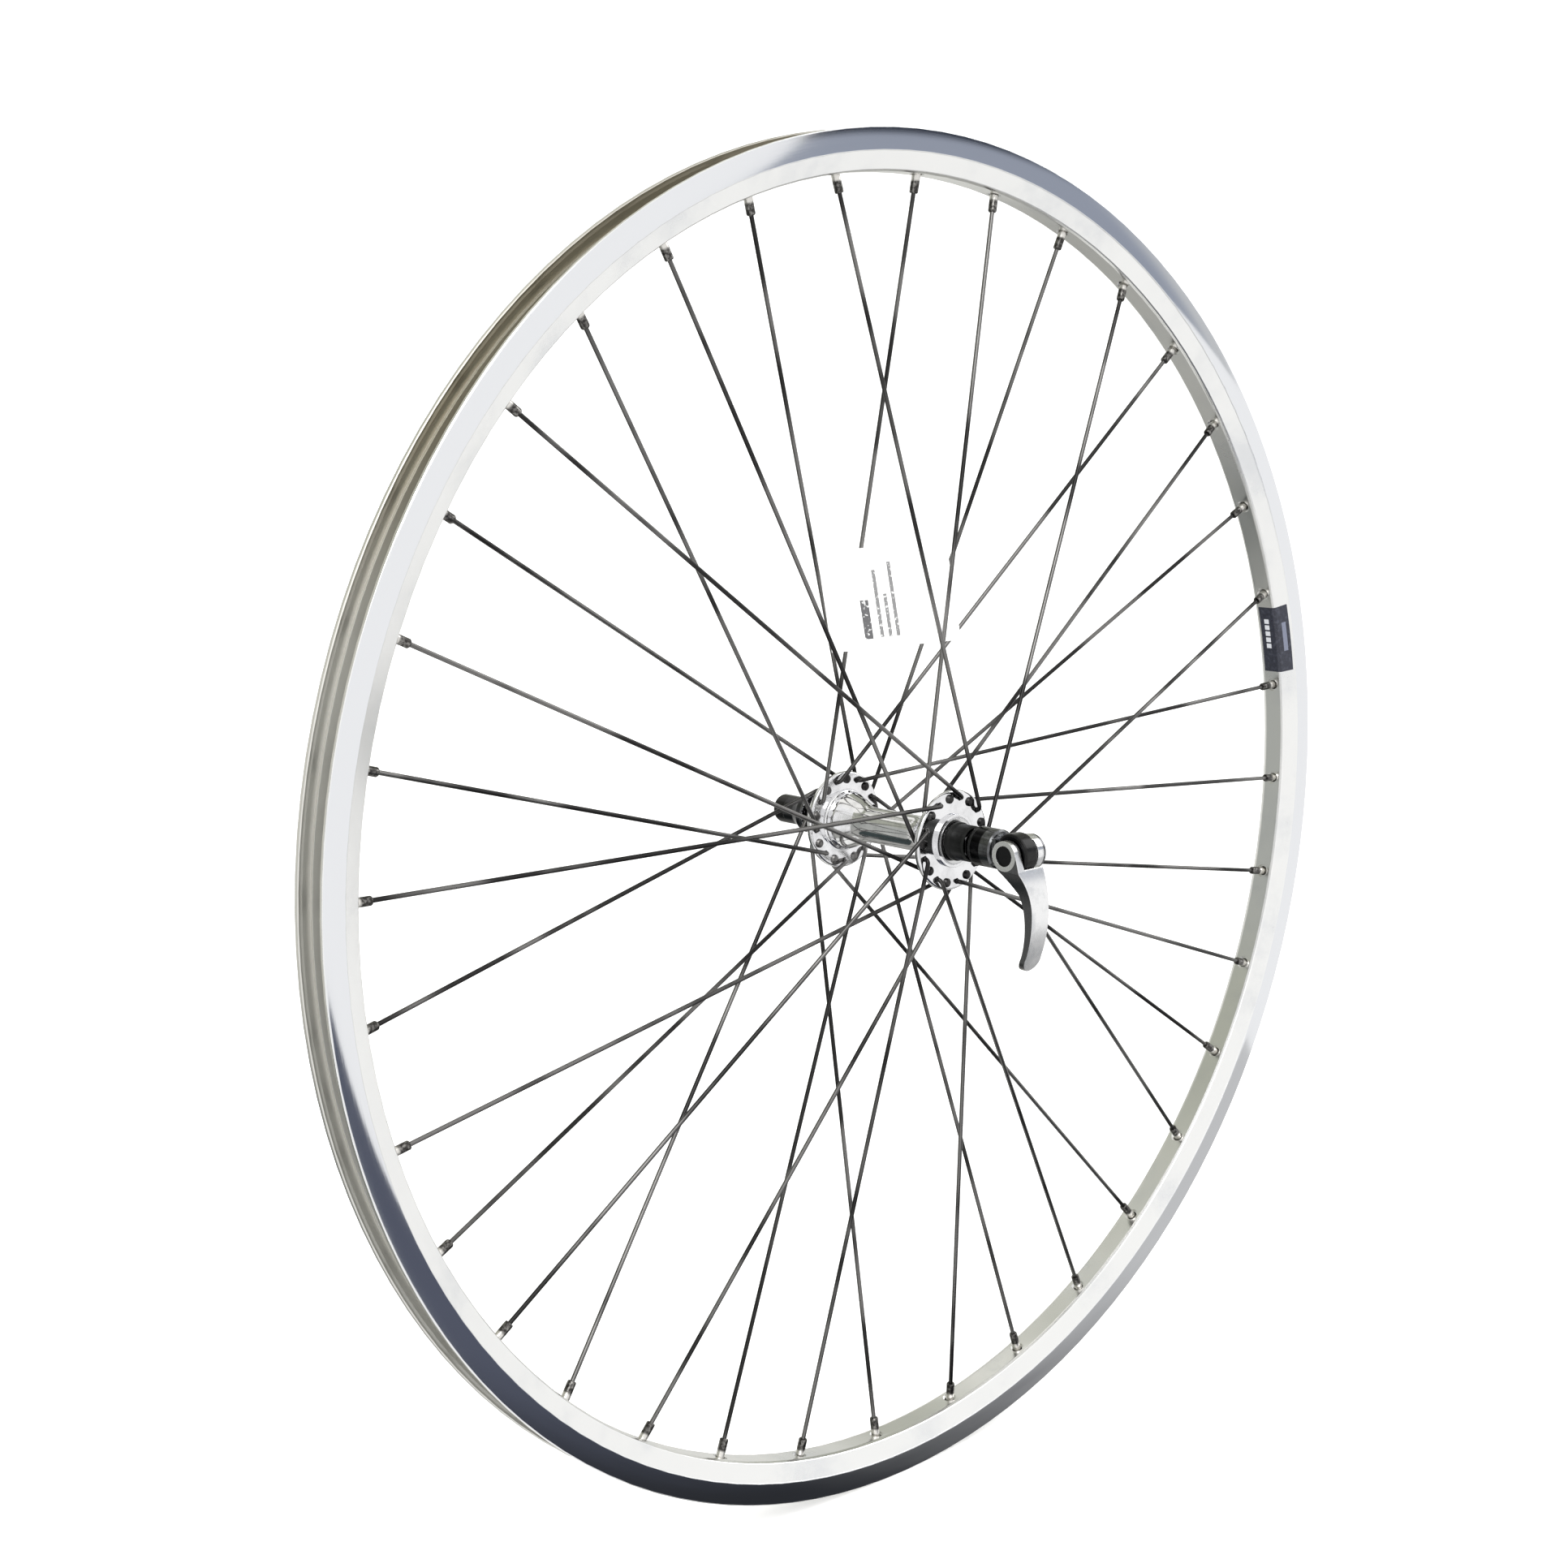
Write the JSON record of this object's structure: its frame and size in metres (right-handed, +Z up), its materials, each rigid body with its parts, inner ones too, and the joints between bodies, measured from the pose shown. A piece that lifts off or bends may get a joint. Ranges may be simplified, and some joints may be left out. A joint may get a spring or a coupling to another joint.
{
  "type": "bicycle front wheel",
  "caption": "Spoked bicycle front wheel with an aluminium rim, a small-flange hub and a quick-release skewer with a folding lever.",
  "frame": {"origin": "centre of the hub, midway between the two fork faces on the wheel's axis", "axes": "+Y along the wheel's axis from the lever towards the adjusting nut, -X the way the wheel rolls, +Z up"},
  "size_m": [0.6339, 0.1674, 0.634],
  "materials": {
    "rim_silver": "polished extrusion with machined brake tracks",
    "joint_sleeve": "plain extruded",
    "label_film": "gloss film with plain pale bars",
    "spoke_steel": "drawn stainless wire",
    "nipple_plate": "nickel-plated brass",
    "card_stock": "coated white card with plain grey bars",
    "hub_polish": "polished",
    "axle_steel": "turned",
    "hard_steel": "ground",
    "dust_cap_plate": "pressed and plated",
    "boot_rubber": "moulded matte",
    "housing_black": "anodised black",
    "cap_black": "gloss moulding",
    "lever_alloy": "forged and satin",
    "nut_black": "anodised dark",
    "nut_cap_black": "gloss moulding",
    "insert_plastic": "plain moulding",
    "spring_steel": "drawn wire"
  },
  "bodies": {
    "axle": {"hollow_axle": "axle_steel", "cone_left": "hard_steel", "cone_right": "hard_steel", "lock_washer_left": "axle_steel", "lock_washer_right": "axle_steel", "locknut_left": "axle_steel", "locknut_right": "axle_steel", "axle_boot_left": "boot_rubber", "axle_boot_right": "boot_rubber"},
    "wheel": {"rim": "rim_silver", "rim_joint_sleeve": "joint_sleeve", "rim_label": "label_film", "spokes_left_leading": "spoke_steel", "spokes_left_trailing": "spoke_steel", "spokes_right_trailing": "spoke_steel", "spokes_right_leading": "spoke_steel", "nipples_left": "nipple_plate", "nipples_right": "nipple_plate", "spoke_card": "card_stock", "hub_shell": "hub_polish", "bearing_cup_left": "hard_steel", "bearing_cup_right": "hard_steel", "dust_cap_left": "dust_cap_plate", "dust_cap_right": "dust_cap_plate"},
    "balls_left": {"bearing_balls_left": "hard_steel"},
    "balls_right": {"bearing_balls_right": "hard_steel"},
    "quick_release": {"lever_housing": "housing_black", "housing_cap": "cap_black", "housing_grip_ring": "hard_steel", "spring_left": "spring_steel"},
    "lever": {"lever": "lever_alloy", "cam_shaft": "hard_steel"},
    "skewer": {"skewer_rod": "axle_steel", "spring_right": "spring_steel"},
    "adjusting_nut": {"nut_body": "nut_black", "nut_insert": "insert_plastic", "nut_cap": "nut_cap_black", "nut_grip_ring": "hard_steel"}
  },
  "joints": [
    {"name": "wheel_spin", "type": "hinge", "parent": "axle", "child": "wheel", "pos_m": [0, 0, 0], "axis": [0, 1, 0], "continuous": true},
    {"name": "balls_left_roll", "type": "hinge", "parent": "axle", "child": "balls_left", "pos_m": [0, -0.0335, 0], "axis": [0, 1, 0], "continuous": true},
    {"name": "balls_right_roll", "type": "hinge", "parent": "axle", "child": "balls_right", "pos_m": [0, 0.0335, 0], "axis": [0, 1, 0], "continuous": true},
    {"name": "skewer_turn", "type": "hinge", "parent": "axle", "child": "quick_release", "pos_m": [0, -0.06, 0], "axis": [0, 1, 0], "range_deg": [-180, 180]},
    {"name": "lever_swing", "type": "hinge", "parent": "quick_release", "child": "lever", "pos_m": [0, -0.077, 0], "axis": [-1, 0, 0], "range_deg": [0, 170]},
    {"name": "skewer_slide", "type": "slide", "parent": "quick_release", "child": "skewer", "axis": [0, 1, 0], "range_m": [0, 0.0018]},
    {"name": "nut_turn", "type": "hinge", "parent": "skewer", "child": "adjusting_nut", "pos_m": [0, 0.066, 0], "axis": [0, 1, 0], "continuous": true}
  ],
  "couplings": [
    {"joint": "balls_left_roll", "follows": "wheel_spin", "ratio": 0.601},
    {"joint": "balls_right_roll", "follows": "wheel_spin", "ratio": 0.601},
    {"joint": "skewer_slide", "follows": "lever_swing", "m_per_rad": 0.000573}
  ]
}
